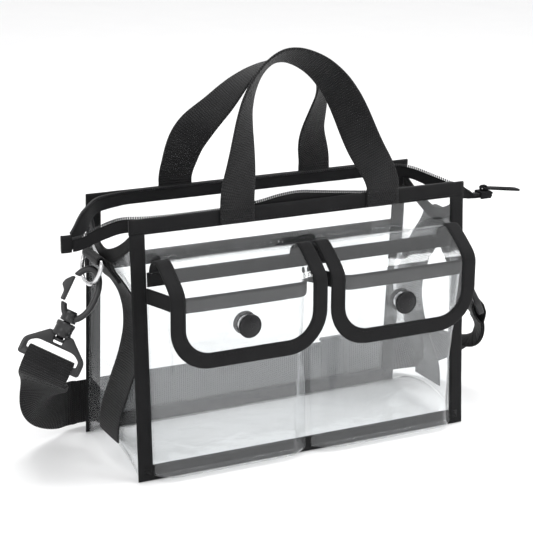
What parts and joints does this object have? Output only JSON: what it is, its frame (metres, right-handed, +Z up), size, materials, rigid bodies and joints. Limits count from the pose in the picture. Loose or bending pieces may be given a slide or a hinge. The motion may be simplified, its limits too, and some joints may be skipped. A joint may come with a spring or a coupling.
{
  "type": "clear make-up bag",
  "caption": "Clear zip-top make-up bag with taped edges, snap-flap front pockets, webbing handles and a hooked shoulder strap on D-rings.",
  "frame": {"origin": "middle of the base sheet's underside, on the surface that the bag stands on", "axes": "+X along the front wall to its right, +Y from the front wall to the back, +Z up"},
  "size_m": [0.4355, 0.1608, 0.3088],
  "materials": {
    "clear_pvc": "clear glossy sheet",
    "binding_tape": "ribbed woven tape",
    "zip_tape": "fine woven tape",
    "zip_teeth": "coil teeth",
    "zip_metal": "black enamel",
    "webbing": "coarse ribbed webbing",
    "black_plastic": "moulded, satin gloss",
    "snap_cap": "glossy black enamel",
    "snap_metal": "nickel plate",
    "ring_metal": "nickel plate"
  },
  "bodies": {
    "bag": {"back_edge_binding": "binding_tape", "back_handle_anchors": "webbing", "back_panel": "clear_pvc", "back_top_binding": "binding_tape", "back_zip_tape": "zip_tape", "back_zip_teeth": "zip_teeth", "bottom_gusset": "clear_pvc", "flap_roots": "clear_pvc", "flap_tape": "binding_tape", "front_edge_binding": "binding_tape", "front_handle_anchors": "webbing", "front_panel": "clear_pvc", "front_top_binding": "binding_tape", "front_zip_tape": "zip_tape", "front_zip_teeth": "zip_teeth", "left_gusset": "clear_pvc", "left_gusset_top_binding": "binding_tape", "left_gusset_webbing": "webbing", "left_hook_yoke": "black_plastic", "left_pocket": "clear_pvc", "left_pocket_binding": "binding_tape", "left_ring_tab": "webbing", "left_snap_back": "snap_cap", "left_snap_stud": "snap_metal", "left_strap_end": "webbing", "left_strap_loop": "webbing", "rear_pocket": "clear_pvc", "rear_pocket_binding": "binding_tape", "right_gusset": "clear_pvc", "right_gusset_top_binding": "binding_tape", "right_gusset_webbing": "webbing", "right_hook_yoke": "black_plastic", "right_pocket": "clear_pvc", "right_pocket_binding": "binding_tape", "right_ring_tab": "webbing", "right_snap_back": "snap_cap", "right_snap_stud": "snap_metal", "right_strap_end": "webbing", "right_strap_loop": "webbing", "shoulder_strap": "webbing", "zip_end_tab": "zip_tape"},
    "front_handle": {"front_handle": "webbing"},
    "back_handle": {"back_handle": "webbing"},
    "zip_slider": {"zip_slider": "zip_metal"},
    "zip_pull": {"zip_pull_tab": "black_plastic"},
    "strap_adjuster": {"strap_adjuster": "black_plastic"},
    "left_flap": {"left_flap_panel": "clear_pvc", "left_flap_binding": "binding_tape", "left_snap_cap": "snap_cap", "left_snap_socket": "snap_metal"},
    "left_ring": {"left_d_ring": "ring_metal"},
    "left_hook": {"left_hook_body": "black_plastic"},
    "left_gate": {"left_hook_gate": "black_plastic"},
    "right_flap": {"right_flap_panel": "clear_pvc", "right_flap_binding": "binding_tape", "right_snap_cap": "snap_cap", "right_snap_socket": "snap_metal"},
    "right_ring": {"right_d_ring": "ring_metal"},
    "right_hook": {"right_hook_body": "black_plastic"},
    "right_gate": {"right_hook_gate": "black_plastic"}
  },
  "joints": [
    {"name": "front_handle_swing", "type": "hinge", "parent": "bag", "child": "front_handle", "pos_m": [0, -0.0442, 0.1995], "axis": [-1, 0, 0], "range_deg": [-110, 0]},
    {"name": "back_handle_swing", "type": "hinge", "parent": "bag", "child": "back_handle", "pos_m": [0, 0.0442, 0.1995], "axis": [1, 0, 0], "range_deg": [-110, 0]},
    {"name": "zip_slider_slide", "type": "slide", "parent": "bag", "child": "zip_slider", "axis": [1, 0, 0], "range_m": [-0.005, 0]},
    {"name": "zip_pull_swing", "type": "hinge", "parent": "zip_slider", "child": "zip_pull", "pos_m": [0.189, 0, 0.1776], "axis": [0, -1, 0], "range_deg": [0, 150]},
    {"name": "strap_adjuster_slide", "type": "slide", "parent": "bag", "child": "strap_adjuster", "axis": [1, 0, 0], "range_m": [-0.06, 0.02]},
    {"name": "left_flap_lift", "type": "hinge", "parent": "bag", "child": "left_flap", "pos_m": [-0.0645, -0.056, 0.168], "axis": [-1, 0, 0], "range_deg": [0, 120]},
    {"name": "left_ring_swing", "type": "hinge", "parent": "bag", "child": "left_ring", "pos_m": [-0.152, 0, 0.161], "axis": [0, 1, 0], "range_deg": [-4, 4]},
    {"name": "left_hook_swivel", "type": "hinge", "parent": "bag", "child": "left_hook", "pos_m": [-0.1753, -0.00223, 0.11287], "axis": [0.501, 0.0802, 0.8617], "range_deg": [-12, 12]},
    {"name": "left_hook_gate", "type": "hinge", "parent": "left_hook", "child": "left_gate", "pos_m": [-0.17502, 0.00389, 0.13024], "axis": [0.3963, 0.864, -0.3107], "range_deg": [0, 10], "stiffness_Nm_per_rad": 0.02},
    {"name": "right_flap_lift", "type": "hinge", "parent": "bag", "child": "right_flap", "pos_m": [0.0645, -0.056, 0.168], "axis": [-1, 0, 0], "range_deg": [0, 120]},
    {"name": "right_ring_swing", "type": "hinge", "parent": "bag", "child": "right_ring", "pos_m": [0.152, 0, 0.161], "axis": [0, -1, 0], "range_deg": [-4, 4]},
    {"name": "right_hook_swivel", "type": "hinge", "parent": "bag", "child": "right_hook", "pos_m": [0.16995, -0.00293, 0.11025], "axis": [0.3416, -0.1005, -0.9344], "range_deg": [-12, 12]},
    {"name": "right_hook_gate", "type": "hinge", "parent": "right_hook", "child": "right_gate", "pos_m": [0.17282, 0.00339, 0.12732], "axis": [0.4275, -0.8688, 0.2497], "range_deg": [0, 10], "stiffness_Nm_per_rad": 0.02}
  ]
}
